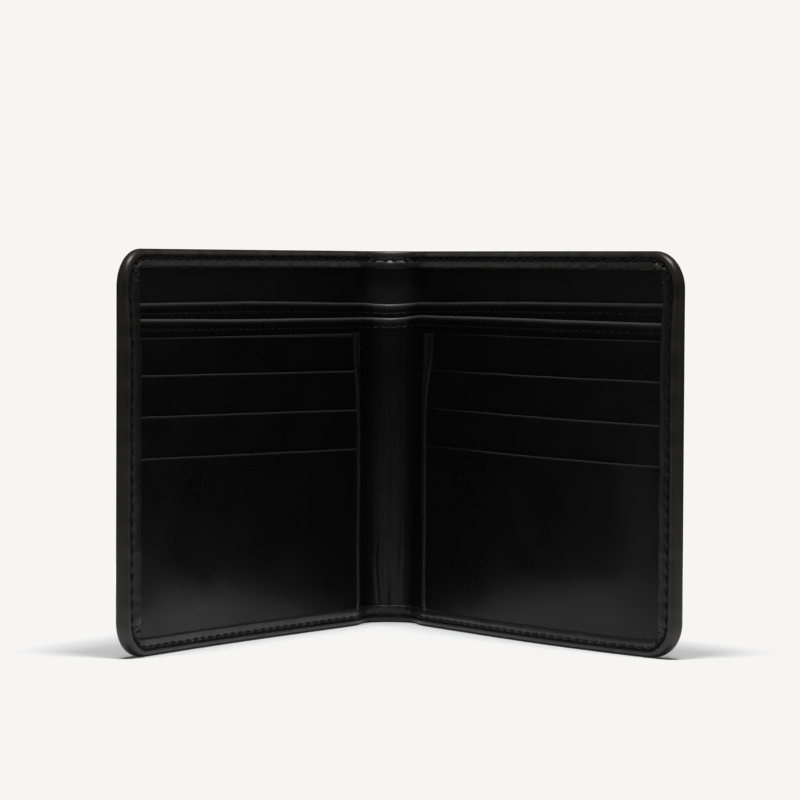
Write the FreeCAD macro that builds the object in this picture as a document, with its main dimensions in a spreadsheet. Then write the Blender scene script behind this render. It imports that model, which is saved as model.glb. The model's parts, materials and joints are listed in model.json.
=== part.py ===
import FreeCAD, Part
import math
import os
import Sketcher

# A leather bifold wallet, standing on its bottom edge and half open.
# Frame: +X to the right, +Z up, and the opening faces -Y. The spine is at the back.
# Each wing is drawn flat: X runs from its fold line outwards, Z runs up, and -Y is the inside.
# Its layers are stacked along -Y, with the fold line in the middle of the cover leather.

V = FreeCAD.Vector

SIZES = [
    # overall
    ("wallet_height", 95.0, "height of the closed wallet"),
    ("wing_length", 109.5, "fold line to the outer edge of a wing"),
    ("half_spine", 5.2, "middle of the spine to a fold line"),
    ("rest_angle", 56.5, "how far each wing is folded up from flat, in degrees"),
    ("corner_radius", 8.5, "outer corners"),
    # leather and lining, in the order they are stacked, outside first
    ("cover_thick", 0.9, "outer cover leather"),
    ("stiffener_thick", 0.3, "board that stiffens the cover"),
    ("lining_thick", 0.2, "lining of the bill compartment"),
    ("divider_thick", 0.4, "panel between the two bill compartments"),
    ("interior_thick", 0.4, "interior panel that carries the card pockets"),
    ("slip_thick", 0.25, "inner wall of the hidden slip pocket"),
    ("backing_thick", 0.25, "cloth that the card slots are sewn to"),
    ("slot_thick", 0.35, "one card slot"),
    ("hem_thick", 0.8, "cover leather turned onto the inside"),
    # the turned hem and its seam
    ("hem_width", 4.4, "how far the cover is turned onto the inside"),
    ("wall_width", 0.9, "leather standing round the edge of the layers"),
    ("hem_step", 0.8, "ramp where the hem drops above the divider"),
    ("seam_inset", 2.2, "perimeter seam to the edge"),
    ("stitch_pitch", 3.2, "one perimeter stitch to the next"),
    ("stitch_length", 2.4, "thread showing in one perimeter stitch"),
    ("hem_stitch_pitch", 2.6, "one stitch to the next on a panel's top hem"),
    ("hem_stitch_length", 1.7, "thread showing in one stitch of a panel's top hem"),
    ("panel_hem", 2.5, "a panel's top edge to its hem stitches"),
    ("thread_width", 0.45, "sewing thread as it lies on the leather"),
    ("thread_proud", 0.18, "how far the thread stands off the leather"),
    ("thread_sunk", 0.05, "outside thread below the cover's face, down in its groove"),
    # panels: heights above the bottom edge, and starts measured from the fold line
    ("divider_top", 82.3, "top edge of the bill divider"),
    ("interior_top", 78.5, "top edge of the interior panel"),
    ("slot_1_top", 74.0, "opening of the first card slot"),
    ("slot_2_top", 65.0, "opening of the second card slot"),
    ("slot_3_top", 55.0, "opening of the third card slot"),
    ("slot_4_top", 45.0, "opening of the fourth card slot"),
    ("slot_depth", 44.0, "depth of a card slot, so that 10 mm of a card shows"),
    ("slip_start", 9.0, "free edge of the slip pocket's inner wall"),
    ("pocket_start", 12.0, "free edge of the card pockets"),
    ("tack_length", 2.0, "bar tack at each end of the slip pocket's mouth"),
    ("tack_width", 0.8, "width of a bar tack"),
    ("tack_low", 6.0, "lower bar tack above the bottom edge"),
    ("tack_drop", 9.0, "upper bar tack below the first slot's opening"),
    # clearances
    ("edge_clear", 0.2, "layers to the leather round their edge"),
    ("slot_clear", 0.1, "card slots to the hem and to each other's ramps"),
    ("groove_clear", 0.15, "thread to the sides of its groove"),
    ("fold_clear", 0.22, "each layer to the mitre line at a fold"),
    ("knuckle_clear", 0.3, "rounded end of a wing's cover to the spine's cover"),
]

STACK = ["cover", "stiffener", "lining", "divider", "interior", "slip", "backing", "slot"]
SLOTS = [1, 2, 3, 4]

doc = FreeCAD.newDocument("bifold_wallet")
sheet = doc.addObject("Spreadsheet::Sheet", "Sizes")
for row, (alias, value, meaning) in enumerate(SIZES, start=1):
    sheet.set(f"A{row}", meaning)
    sheet.set(f"B{row}", str(value))
    sheet.setAlias(f"B{row}", alias)
doc.recompute()


def number(expression):
    """What an expression on the sheet comes to."""
    return float(sheet.evalExpression(expression))


# ---- expressions shared by the pieces ----

FOLD = "Sizes.cover_thick / 2"
WALL = "Sizes.wall_width"
EDGE = "(Sizes.wall_width + Sizes.edge_clear)"
HEIGHT = "Sizes.wallet_height"
LENGTH = "Sizes.wing_length"


def thickness(names):
    return " + ".join(f"Sizes.{name}_thick" for name in names)


def back(name):
    """Depth of a layer's outer face, inwards from the fold line."""
    below = STACK[: STACK.index(name)]
    return f"({thickness(below)} - {FOLD})" if below else f"(0 - {FOLD})"


def front(name):
    """Depth of a layer's inner face, inwards from the fold line."""
    return f"({thickness(STACK[: STACK.index(name) + 1])} - {FOLD})"


def fold_start(name):
    """Where a layer begins beside the fold, so that the mitre line stays clear when closed."""
    return f"({front(name)} + Sizes.fold_clear)"


HEM_HIGH = front("slot")
HEM_LOW = front("lining")
FACE_HIGH = f"({HEM_HIGH} + Sizes.hem_thick)"
FACE_LOW = f"({HEM_LOW} + Sizes.hem_thick)"
STEP_LOW = "(Sizes.divider_top + Sizes.edge_clear)"
STEP_HIGH = f"({STEP_LOW} + Sizes.hem_step)"
HINGE_Y = (
    f"(Sizes.wing_length * sin(Sizes.rest_angle) + {FACE_HIGH} * cos(Sizes.rest_angle) - {FOLD}) / 2"
)
GROOVE_DEEP = "(Sizes.thread_proud + Sizes.thread_sunk)"
GROOVE_HALF = "(Sizes.thread_width / 2 + Sizes.groove_clear)"
GROOVE_OUT = f"(Sizes.seam_inset - {GROOVE_HALF})"
GROOVE_IN = f"(Sizes.seam_inset + {GROOVE_HALF})"
SLOT_EDGE = "(Sizes.hem_width + Sizes.slot_clear)"
RAMP = "Sizes.slot_thick"


# ---- drawing and padding ----


def new_body(label, x_expression):
    """A body whose origin is on a fold line, or in the middle of the spine for 0."""
    body = doc.addObject("PartDesign::Body", label)
    body.Label = label
    turn = FreeCAD.Rotation(V(0, 0, -1), 0)
    if x_expression != "0":
        turn = FreeCAD.Rotation(V(0, 0, -1), number("rest_angle"))
    body.Placement = FreeCAD.Placement(V(0, 0, 0), turn)
    if x_expression != "0":
        body.setExpression("Placement.Rotation.Angle", "Sizes.rest_angle")
        body.setExpression("Placement.Base.x", x_expression)
    body.setExpression("Placement.Base.y", HINGE_Y)
    return body


def new_sketch(body, role, offset):
    """A sketch on one of the body's own planes, moved along that plane's normal."""
    plane = next(item for item in body.Origin.OriginFeatures if item.Role == role)
    sketch = body.newObject("Sketcher::SketchObject", f"{body.Name}_sketch")
    sketch.AttachmentSupport = [(plane, "")]
    sketch.MapMode = "FlatFace"
    sketch.setExpression("AttachmentOffset.Base.z", offset)
    return sketch


def bind(sketch, kind, geometry, end, expression):
    """Holds one point at a distance from the sketch's origin, or an arc at a radius."""
    if kind == "Radius":
        index = sketch.addConstraint(Sketcher.Constraint(kind, geometry, number(expression)))
    else:
        rule = Sketcher.Constraint(kind, -1, 1, geometry, end, number(expression))
        index = sketch.addConstraint(rule)
    sketch.setExpression(f"Constraints[{index}]", expression)


def square_outline(sketch, lines, radii):
    """Closed outline of level and upright lines.

    lines holds ("x" or "y", place) in turn. radii gives the radius of the corner after a line.
    """
    count = len(lines)
    places = [number(place) for _, place in lines]
    corners = []
    for index in range(count):
        after = (index + 1) % count
        if lines[index][0] == "x":
            corners.append(V(places[index], places[after], 0))
        else:
            corners.append(V(places[after], places[index], 0))
    starts = []
    ends = []
    for index in range(count):
        first = corners[index - 1]
        last = corners[index]
        along = (last - first).normalize()
        before = (index - 1) % count
        cut_first = number(radii[before]) if before in radii else 0.0
        cut_last = number(radii[index]) if index in radii else 0.0
        starts.append(first + along * cut_first)
        ends.append(last - along * cut_last)
    for index, (axis, place) in enumerate(lines):
        sketch.addGeometry(Part.LineSegment(starts[index], ends[index]))
        level = "Vertical" if axis == "x" else "Horizontal"
        sketch.addConstraint(Sketcher.Constraint(level, index))
        bind(sketch, "DistanceX" if axis == "x" else "DistanceY", index, 1, place)
    for index in range(count):
        after = (index + 1) % count
        if index not in radii:
            sketch.addConstraint(Sketcher.Constraint("Coincident", index, 2, after, 1))
            continue
        corner = corners[index]
        centre = ends[index] + starts[after] - corner
        middle = centre + (corner - centre).normalize() * number(radii[index])
        bend = Part.Arc(ends[index], middle, starts[after])
        arc = sketch.addGeometry(bend)
        near_start = sketch.getPoint(arc, 1).distanceToPoint(ends[index])
        near_end = sketch.getPoint(arc, 2).distanceToPoint(ends[index])
        at_line = 1 if near_start < near_end else 2
        sketch.addConstraint(Sketcher.Constraint("Tangent", index, 2, arc, at_line))
        sketch.addConstraint(Sketcher.Constraint("Tangent", after, 1, arc, 3 - at_line))
        bind(sketch, "Radius", arc, 0, radii[index])


def corner_outline(sketch, points):
    """Closed outline of straight lines through points given as pairs of expressions."""
    places = [V(number(across), number(along), 0) for across, along in points]
    for index in range(len(points)):
        sketch.addGeometry(Part.LineSegment(places[index], places[(index + 1) % len(points)]))
    for index, (across, along) in enumerate(points):
        sketch.addConstraint(Sketcher.Constraint("Coincident", index, 2, (index + 1) % len(points), 1))
        bind(sketch, "DistanceX", index, 1, across)
        bind(sketch, "DistanceY", index, 1, along)


def pad(body, sketch, length):
    """Thickens a sketch along its plane's normal."""
    feature = body.newObject("PartDesign::Pad", f"{body.Name}_pad")
    feature.Profile = sketch
    feature.setExpression("Length", length)
    sketch.Visibility = False
    return feature


def cut(body, sketch, length):
    """Cuts along the sketch's normal, and makes sure that something was cut."""
    doc.recompute()
    before = body.Shape.Volume
    feature = body.newObject("PartDesign::Pocket", f"{body.Name}_cut")
    feature.Profile = sketch
    feature.Reversed = True
    feature.setExpression("Length", length)
    doc.recompute()
    if body.Shape.Volume >= before:
        raise RuntimeError(f"{body.Label}: the cut took nothing away")


def inset(size, amount):
    return f"({size} - {amount})"


def panel(body, name, lines, radii, thick):
    """One flat layer of a wing, at its own depth."""
    sketch = new_sketch(body, "XZ_Plane", back(name))
    square_outline(sketch, lines, radii)
    return pad(body, sketch, thick)


def band(body, depth, thick, margin, width, start, end, from_top):
    """A strip that follows the edge, along one side and round the corner to a height."""
    outer = margin
    inner = f"({margin} + {width})"
    far = inset(LENGTH, outer)
    near = inset(LENGTH, inner)
    low = inset(HEIGHT, outer) if from_top else outer
    high = inset(HEIGHT, inner) if from_top else inner
    lines = [("x", start), ("y", low), ("x", far), ("y", end), ("x", near), ("y", high)]
    radii = {1: inset("Sizes.corner_radius", outer), 4: inset("Sizes.corner_radius", inner)}
    sketch = new_sketch(body, "XZ_Plane", depth)
    square_outline(sketch, lines, radii)
    return pad(body, sketch, thick)


def cut_seam_groove(body):
    """The groove that the outside thread lies in: along the bottom, up the end and back."""
    start = FOLD
    outer = inset(LENGTH, GROOVE_OUT)
    inner = inset(LENGTH, GROOVE_IN)
    groove = new_sketch(body, "XZ_Plane", back("cover"))
    lines = [
        ("x", start),
        ("y", GROOVE_OUT),
        ("x", outer),
        ("y", inset(HEIGHT, GROOVE_OUT)),
        ("x", start),
        ("y", inset(HEIGHT, GROOVE_IN)),
        ("x", inner),
        ("y", GROOVE_IN),
    ]
    wide = inset("Sizes.corner_radius", GROOVE_OUT)
    tight = inset("Sizes.corner_radius", GROOVE_IN)
    square_outline(groove, lines, {1: wide, 2: wide, 5: tight, 6: tight})
    cut(body, groove, GROOVE_DEEP)


# ---- the wings ----


def make_wing_cover():
    """Cover leather with its turned hem: a plate, a wall round the edge and a flange on top."""
    body = new_body("outer_cover_right", "Sizes.half_spine")
    radius = "Sizes.corner_radius"
    lines = [("x", "0"), ("y", "0"), ("x", LENGTH), ("y", HEIGHT)]
    panel(body, "cover", lines, {1: radius, 2: radius}, "Sizes.cover_thick")
    knuckle = new_sketch(body, "XY_Plane", "0")
    knuckle.addGeometry(Part.Circle(V(0, 0, 0), V(0, 0, 1), number(FOLD)))
    knuckle.addConstraint(Sketcher.Constraint("Coincident", 0, 3, -1, 1))
    bind(knuckle, "Radius", 0, 0, FOLD)
    pad(body, knuckle, HEIGHT)
    start = f"({FOLD} + Sizes.fold_clear)"
    low_wall = f"({HEM_LOW} - {FOLD})"
    high_wall = f"({HEM_HIGH} - {FOLD})"
    band(body, FOLD, high_wall, "0", WALL, start, STEP_HIGH, False)
    band(body, HEM_HIGH, "Sizes.hem_thick", "0", "Sizes.hem_width", start, STEP_HIGH, False)
    band(body, FOLD, low_wall, "0", WALL, start, STEP_LOW, True)
    band(body, HEM_LOW, "Sizes.hem_thick", "0", "Sizes.hem_width", start, STEP_LOW, True)
    ramp = new_sketch(body, "XZ_Plane", HEM_LOW)
    near = inset(LENGTH, "Sizes.hem_width")
    square_outline(ramp, [("x", near), ("y", STEP_LOW), ("x", LENGTH), ("y", STEP_HIGH)], {})
    pad(body, ramp, f"({FACE_HIGH} - {HEM_LOW})")
    mitre = new_sketch(body, "XY_Plane", "0")
    beyond = f"({FACE_HIGH} + Sizes.hem_thick)"
    past = f"({beyond} + Sizes.fold_clear)"
    corners = [
        ("0", f"0 - {FOLD}"),
        (start, f"0 - {FOLD}"),
        (past, f"0 - {beyond}"),
        ("0", f"0 - {beyond}"),
    ]
    corner_outline(mitre, corners)
    cut(body, mitre, HEIGHT)
    cut_seam_groove(body)
    return body


def make_wing_layer(label, name, start, top):
    """A layer that fills the wing from beside the fold to the wall round the edge."""
    body = new_body(label, "Sizes.half_spine")
    lines = [("x", start), ("y", EDGE), ("x", inset(LENGTH, EDGE)), ("y", top)]
    radius = inset("Sizes.corner_radius", EDGE)
    radii = {1: radius}
    if top == inset(HEIGHT, EDGE):
        radii[2] = radius
    panel(body, name, lines, radii, f"Sizes.{name}_thick")
    return body


def make_card_slot(order):
    """A T-shaped card slot: its mouth reaches under the hem and its lower part hangs free."""
    body = new_body(f"card_slot_{order}_right", "Sizes.half_spine")
    top = f"Sizes.slot_{order}_top"
    start = "Sizes.pocket_start"
    raised = f"({order - 1} * Sizes.slot_thick)"
    depth = f"({back('slot')} + {raised})"
    sketch = new_sketch(body, "XZ_Plane", depth)
    side = inset(LENGTH, EDGE) if order == 1 else inset(LENGTH, SLOT_EDGE)
    if order == SLOTS[-1]:
        lines = [("x", start), ("y", SLOT_EDGE), ("x", side), ("y", top)]
        square_outline(sketch, lines, {1: inset("Sizes.corner_radius", SLOT_EDGE)})
    else:
        below = f"Sizes.slot_{order + 1}_top"
        bottom = f"({top} - Sizes.slot_depth)"
        narrow = inset(LENGTH, f"({SLOT_EDGE} + {RAMP} + Sizes.slot_clear)")
        lines = [("x", start), ("y", bottom), ("x", narrow), ("y", below), ("x", side), ("y", top)]
        square_outline(sketch, lines, {})
    pad(body, sketch, "Sizes.slot_thick")
    if order == 1:
        return body
    tongue_width = f"({SLOT_EDGE} + {RAMP} - {EDGE})"
    if order == SLOTS[-1]:
        band(body, back("slot"), f"({raised} + Sizes.slot_thick)", SLOT_EDGE, RAMP, start, top, False)
        band(body, back("slot"), "Sizes.slot_thick", EDGE, tongue_width, start, top, False)
        return body
    inner = inset(LENGTH, f"({SLOT_EDGE} + {RAMP})")
    ramp = new_sketch(body, "XZ_Plane", back("slot"))
    square_outline(ramp, [("x", inner), ("y", below), ("x", side), ("y", top)], {})
    pad(body, ramp, f"({raised} + Sizes.slot_thick)")
    tongue = new_sketch(body, "XZ_Plane", back("slot"))
    edge = inset(LENGTH, EDGE)
    square_outline(tongue, [("x", inner), ("y", below), ("x", edge), ("y", top)], {})
    pad(body, tongue, "Sizes.slot_thick")
    return body


# ---- the spine ----


def make_spine_cover():
    """Cover leather between the folds, with its share of the top and bottom hems."""
    body = new_body("spine_cover", "0")
    half = f"(Sizes.half_spine - {FOLD} - Sizes.knuckle_clear)"
    lines = [("x", f"0 - {half}"), ("y", "0"), ("x", half), ("y", HEIGHT)]
    panel(body, "cover", lines, {}, "Sizes.cover_thick")
    strips = [
        (FOLD, HEM_HIGH, "0", WALL),
        (HEM_HIGH, FACE_HIGH, "0", "Sizes.hem_width"),
        (FOLD, HEM_LOW, inset(HEIGHT, WALL), WALL),
        (HEM_LOW, FACE_LOW, inset(HEIGHT, "Sizes.hem_width"), "Sizes.hem_width"),
    ]
    for outside, inside, floor, tall in strips:
        sketch = new_sketch(body, "XY_Plane", floor)
        wide = f"(Sizes.half_spine - {outside} - Sizes.fold_clear)"
        narrow = f"(Sizes.half_spine - {inside} - Sizes.fold_clear)"
        corners = [
            (f"0 - {wide}", f"0 - {outside}"),
            (f"0 - {narrow}", f"0 - {inside}"),
            (narrow, f"0 - {inside}"),
            (wide, f"0 - {outside}"),
        ]
        corner_outline(sketch, corners)
        pad(body, sketch, tall)
    for low, high in (
        (GROOVE_OUT, GROOVE_IN),
        (inset(HEIGHT, GROOVE_IN), inset(HEIGHT, GROOVE_OUT)),
    ):
        groove = new_sketch(body, "XZ_Plane", back("cover"))
        square_outline(groove, [("x", f"0 - {half}"), ("y", low), ("x", half), ("y", high)], {})
        cut(body, groove, GROOVE_DEEP)
    return body


def make_spine_layer(label, name, top):
    """A layer's piece between the folds, mitred back as far as the wings' pieces."""
    body = new_body(label, "0")
    half = f"(Sizes.half_spine - {fold_start(name)})"
    lines = [("x", f"0 - {half}"), ("y", EDGE), ("x", half), ("y", top)]
    panel(body, name, lines, {}, f"Sizes.{name}_thick")
    return body


# ---- sewing ----


def stitch(across, up, turn, depth, length, into):
    """One stitch lying on the leather: a short bar of thread, turned to follow the seam."""
    wide = number("thread_width")
    tall = number("thread_proud")
    bar = Part.makeBox(length, tall, wide, V(-length / 2, -tall if into else 0, -wide / 2))
    bar.rotate(V(0, 0, 0), V(0, -1, 0), turn)
    bar.translate(V(across, -depth, up))
    return bar


def seam_places(start):
    """Places along the perimeter seam: up from the bottom fold, round the edge and back."""
    margin = number("seam_inset")
    pitch = number("stitch_pitch")
    bend = number("corner_radius") - margin
    far = number("wing_length") - margin
    low = margin
    high = number("wallet_height") - margin
    level = far - bend - start
    upright = high - low - 2 * bend
    quarter = bend * math.pi / 2
    total = 2 * level + 2 * quarter + upright
    count = int(total / pitch)
    places = []
    for index in range(count):
        run = (index + 0.5) * total / count
        if run < level:
            places.append((start + run, low, 0.0))
            continue
        run -= level
        if run < quarter:
            turn = run / bend
            across = far - bend + bend * math.sin(turn)
            places.append((across, low + bend - bend * math.cos(turn), math.degrees(turn)))
            continue
        run -= quarter
        if run < upright:
            places.append((far, low + bend + run, 90.0))
            continue
        run -= upright
        if run < quarter:
            turn = run / bend
            across = far - bend + bend * math.cos(turn)
            places.append((across, high - bend + bend * math.sin(turn), 90 + math.degrees(turn)))
            continue
        run -= quarter
        places.append((far - bend - run, high, 180.0))
    return places


def wing_placement():
    turn = FreeCAD.Rotation(V(0, 0, -1), number("rest_angle"))
    return FreeCAD.Placement(V(number("half_spine"), number(HINGE_Y), 0), turn)


def spine_placement():
    return FreeCAD.Placement(V(0, number(HINGE_Y), 0), FreeCAD.Rotation())


def sewn(label, bars, placement):
    """A run of stitches as one group of separate solids."""
    feature = doc.addObject("Part::Feature", label)
    feature.Label = label
    feature.Shape = Part.makeCompound(bars)
    feature.Placement = placement
    return feature


def make_inner_seam():
    length = number("stitch_length")
    high = number(FACE_HIGH)
    low = number(FACE_LOW)
    step = (number(STEP_LOW) + number(STEP_HIGH)) / 2
    keep_off = (length + number("hem_step")) / 2 + number("edge_clear")
    bars = []
    for across, up, turn in seam_places(high + number("fold_clear") + length / 2):
        if abs(up - step) > keep_off:
            bars.append(stitch(across, up, turn, high if up < step else low, length, True))
    return sewn("inner_seam_right", bars, wing_placement())


def make_outer_seam():
    length = number("stitch_length")
    bars = []
    floor = number(f"{GROOVE_DEEP} - {FOLD}")
    for across, up, turn in seam_places(length):
        bars.append(stitch(across, up, turn, floor, length, False))
    return sewn("outer_seam_right", bars, wing_placement())


def hem_bars(first, last, up, depth):
    """Stitches at an even pitch between two places on a panel's top hem."""
    length = number("hem_stitch_length")
    count = int((last - first) / number("hem_stitch_pitch")) + 1
    pitch = (last - first) / (count - 1) if count > 1 else 0.0
    return [stitch(first + index * pitch, up, 0, depth, length, True) for index in range(count)]


def make_panel_seam(label, name):
    """The row of stitches under a panel's top edge, on one wing."""
    length = number("hem_stitch_length")
    first = number(fold_start(name)) + length
    last = number("wing_length - hem_width") - length
    up = number(f"{name}_top - panel_hem")
    return sewn(label, hem_bars(first, last, up, number(front(name))), wing_placement())


def make_bar_tacks():
    """Two tacks that close the ends of the slip pocket's mouth."""
    long = number("tack_length")
    wide = number("tack_width")
    tall = number("thread_proud")
    start = (number("slip_start") + number("pocket_start") - long) / 2
    depth = number(front("slip"))
    bars = []
    for up in (number("tack_low"), number("slot_1_top - tack_drop")):
        bars.append(Part.makeBox(long, tall, wide, V(start, -depth - tall, up)))
    return sewn("bar_tacks_right", bars, wing_placement())


def make_spine_seam():
    """Hem, panel and outside stitches that lie between the folds."""
    length = number("stitch_length")
    margin = number("seam_inset")
    top = number("wallet_height") - margin
    bars = [
        stitch(0, margin, 0, number(FACE_HIGH), length, True),
        stitch(0, top, 0, number(FACE_LOW), length, True),
    ]
    floor = number(f"{GROOVE_DEEP} - {FOLD}")
    for across in (-number("stitch_pitch"), 0, number("stitch_pitch")):
        for up in (margin, top):
            bars.append(stitch(across, up, 0, floor, length, False))
    for name in ("divider", "interior"):
        reach = number(f"half_spine - {fold_start(name)}") - number("hem_stitch_length")
        up = number(f"{name}_top - panel_hem")
        bars += hem_bars(-reach, reach, up, number(front(name)))
    return sewn("spine_seam", bars, spine_placement())


# ---- the assembly ----

full_top = inset(HEIGHT, EDGE)
right_wing = [
    make_wing_cover(),
    make_wing_layer("cover_stiffener_right", "stiffener", fold_start("stiffener"), full_top),
    make_wing_layer("bill_lining_right", "lining", fold_start("lining"), full_top),
    make_wing_layer("bill_divider_right", "divider", fold_start("divider"), "Sizes.divider_top"),
    make_wing_layer("interior_panel_right", "interior", fold_start("interior"), "Sizes.interior_top"),
    make_wing_layer("slip_pocket_right", "slip", "Sizes.slip_start", "Sizes.slot_1_top"),
    make_wing_layer("pocket_backing_right", "backing", "Sizes.pocket_start", "Sizes.slot_1_top"),
]
for slot_order in SLOTS:
    right_wing.append(make_card_slot(slot_order))
right_wing.append(make_inner_seam())
right_wing.append(make_outer_seam())
right_wing.append(make_panel_seam("divider_seam_right", "divider"))
right_wing.append(make_panel_seam("interior_seam_right", "interior"))
right_wing.append(make_bar_tacks())
doc.recompute()

spine = [
    make_spine_cover(),
    make_spine_layer("spine_stiffener", "stiffener", full_top),
    make_spine_layer("spine_lining", "lining", full_top),
    make_spine_layer("spine_divider", "divider", "Sizes.divider_top"),
    make_spine_layer("spine_panel", "interior", "Sizes.interior_top"),
    make_spine_seam(),
]

# The left wing is the right one mirrored across the middle of the spine.
left_wing = []
for piece in right_wing:
    label = piece.Label.replace("_right", "_left")
    mirrored = doc.addObject("Part::Mirroring", label)
    mirrored.Label = label
    mirrored.Source = piece
    mirrored.Normal = V(1, 0, 0)
    left_wing.append(mirrored)
doc.recompute()

for item in doc.Objects:
    if "Invalid" in item.State or "Error" in item.State:
        raise RuntimeError(f"{item.Label} did not compute: {item.State}")

os.makedirs("parts", exist_ok=True)
for piece in spine + right_wing + left_wing:
    if piece.Shape.isNull() or not piece.Shape.isValid():
        raise RuntimeError(f"{piece.Label} has no valid shape")
    piece.Shape.exportStep(f"parts/{piece.Label}.step")
    box = piece.Shape.BoundBox
    extent = f"{box.XLength:.2f} x {box.YLength:.2f} x {box.ZLength:.2f}"
    print(f"{piece.Label}: {len(piece.Shape.Solids)} solids, {piece.Shape.Volume:.1f} mm3, {extent}")
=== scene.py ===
# %% [markdown]
# # A black calf leather bifold wallet
# The wallet stands half open on its bottom edge. A leather worker cuts and sews it lying flat
# and folds it last, and it is modelled that way here: every sheet of leather, lining and thread
# is laid out flat in millimetres, and one function then folds it up round the spine. Each sheet
# could also be placed straight in space, but then the layers would drift apart at the folds. The
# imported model, the frame, gives the fold lines, the panels' heights and the layers' depths.

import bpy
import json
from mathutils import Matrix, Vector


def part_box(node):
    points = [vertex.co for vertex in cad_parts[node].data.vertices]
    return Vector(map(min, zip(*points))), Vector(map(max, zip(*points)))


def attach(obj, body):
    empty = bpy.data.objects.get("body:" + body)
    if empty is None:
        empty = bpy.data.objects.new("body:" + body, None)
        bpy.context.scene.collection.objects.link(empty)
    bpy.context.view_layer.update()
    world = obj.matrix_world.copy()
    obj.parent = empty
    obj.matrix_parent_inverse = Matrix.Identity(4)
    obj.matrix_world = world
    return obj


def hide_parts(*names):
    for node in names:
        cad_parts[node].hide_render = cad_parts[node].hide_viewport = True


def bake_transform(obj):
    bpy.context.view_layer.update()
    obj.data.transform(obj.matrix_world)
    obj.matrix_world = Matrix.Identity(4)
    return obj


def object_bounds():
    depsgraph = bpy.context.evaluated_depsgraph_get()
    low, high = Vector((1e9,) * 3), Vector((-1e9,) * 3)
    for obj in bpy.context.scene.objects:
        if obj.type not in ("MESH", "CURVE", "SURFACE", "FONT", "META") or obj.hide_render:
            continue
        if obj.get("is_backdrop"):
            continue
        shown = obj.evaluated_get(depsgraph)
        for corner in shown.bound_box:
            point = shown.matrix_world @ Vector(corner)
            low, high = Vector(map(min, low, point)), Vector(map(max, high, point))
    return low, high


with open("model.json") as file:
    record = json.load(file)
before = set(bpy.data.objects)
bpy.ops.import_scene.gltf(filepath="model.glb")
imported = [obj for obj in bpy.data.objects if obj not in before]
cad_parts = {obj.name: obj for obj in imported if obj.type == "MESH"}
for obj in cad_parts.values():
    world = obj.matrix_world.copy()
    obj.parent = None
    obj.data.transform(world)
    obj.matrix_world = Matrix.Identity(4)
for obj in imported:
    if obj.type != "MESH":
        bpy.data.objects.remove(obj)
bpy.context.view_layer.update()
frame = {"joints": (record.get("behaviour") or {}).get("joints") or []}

# %% [markdown]
# `bpy` is Blender itself, `mathutils` turns vectors, and numpy works out whole grids of points
# at once. `json` is imported again, though it was only needed to read the record at the top.

# %% Modules
import json
import math

import bpy
import numpy as np
from mathutils import Matrix, Vector

print("Blender", bpy.app.version_string)

# %% [markdown]
# ## Sizes
# The frame says where each fold is, how far the wings are folded up, and how high each piece
# stands. Everything is kept in millimetres until the last step of a piece, because leather is
# measured in them and the numbers stay easy to read.

# %% Sizes from the frame
MM = 0.001


def box_mm(name):
    low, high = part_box(name)
    return np.array(low) / MM, np.array(high) / MM


right_fold = next(joint for joint in frame["joints"] if joint["name"] == "right_fold")
FOLD_X, FOLD_Y = (value / MM for value in right_fold["pos_m"][:2])
REST = math.radians(right_fold["range_deg"][1])
COVER = box_mm("spine_cover")[1][1] - FOLD_Y  # half of the cover's thickness
wing_high = box_mm("outer_cover_right")[1]
HEIGHT = wing_high[2]
WING = (wing_high[0] - FOLD_X - COVER * math.sin(REST)) / math.cos(REST)
WIDE = FOLD_X + WING
PANEL_NAMES = ("bill_divider", "interior_panel")
ORDERS = (1, 2, 3, 4)  # the card slots, counted from the top one
STACK = PANEL_NAMES + tuple(f"card_slot_{order}" for order in ORDERS)
BOTTOM, TOP = ({name: box_mm(f"{name}_right")[end][2] for name in STACK} for end in (0, 1))
print(f"wing {WING:.1f} mm, folds {2 * FOLD_X:.1f} mm apart, folded up {math.degrees(REST):.1f} degrees")

# %% [markdown]
# Depth is counted inwards from the middle of the cover leather, where the fold lines are. Each
# layer of the spine lies flat across the back, so its box gives the depth of its inner face. The
# pockets are only on the wings, whose boxes are slanted, so their thickness is given here.

# %% Depths of the layers
def inner_face(spine_node):
    return FOLD_Y - box_mm(spine_node)[0][1]


BOARD = inner_face("spine_stiffener")
LINING = inner_face("spine_lining")
DIVIDER = inner_face("spine_divider")
INTERIOR = inner_face("spine_panel")
SLIP_THICK, BACKING_THICK, SLOT_THICK, HEM_THICK = 0.25, 0.25, 0.35, 0.8
SLIP = INTERIOR + SLIP_THICK
BACKING = SLIP + BACKING_THICK
SLOT_FACE = [BACKING + SLOT_THICK * order for order in ORDERS]
TOP_HEM = LINING + HEM_THICK
HEM = SLOT_FACE[0] + HEM_THICK
print(f"hem face {HEM:.2f} mm in, last card slot {SLOT_FACE[-1]:.2f} mm in")

# %% [markdown]
# ## Folding
# Leather doesn't crease at a line: it turns over a few millimetres. So the flat layout is folded
# with the very same rule. The share is found by halving, because it depends on the folded place
# that it leads to.

# %% Fold the flat layout up to rest
BEND_BEFORE, BEND_AFTER = 0.2, 8.0  # from the spine's middle, and past the fold
HALVINGS = 30
BEND_START = Vector((BEND_BEFORE, FOLD_Y, 0)) * MM
BEND_END = Vector((FOLD_X + BEND_AFTER * math.cos(REST), FOLD_Y - BEND_AFTER * math.sin(REST), 0)) * MM


def smooth(value):
    """0 up to 0, 1 from 1 on, and an S-curve between."""
    value = np.clip(value, 0, 1)
    return value * value * (3 - 2 * value)


def turned(across, inwards, share):
    """Flat points of the right half, turned about the right fold by a share of the rest angle."""
    angle = -REST * share
    away, back = across - FOLD_X, -inwards
    return (FOLD_X + away * np.cos(angle) - back * np.sin(angle),
            FOLD_Y + away * np.sin(angle) + back * np.cos(angle))


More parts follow.
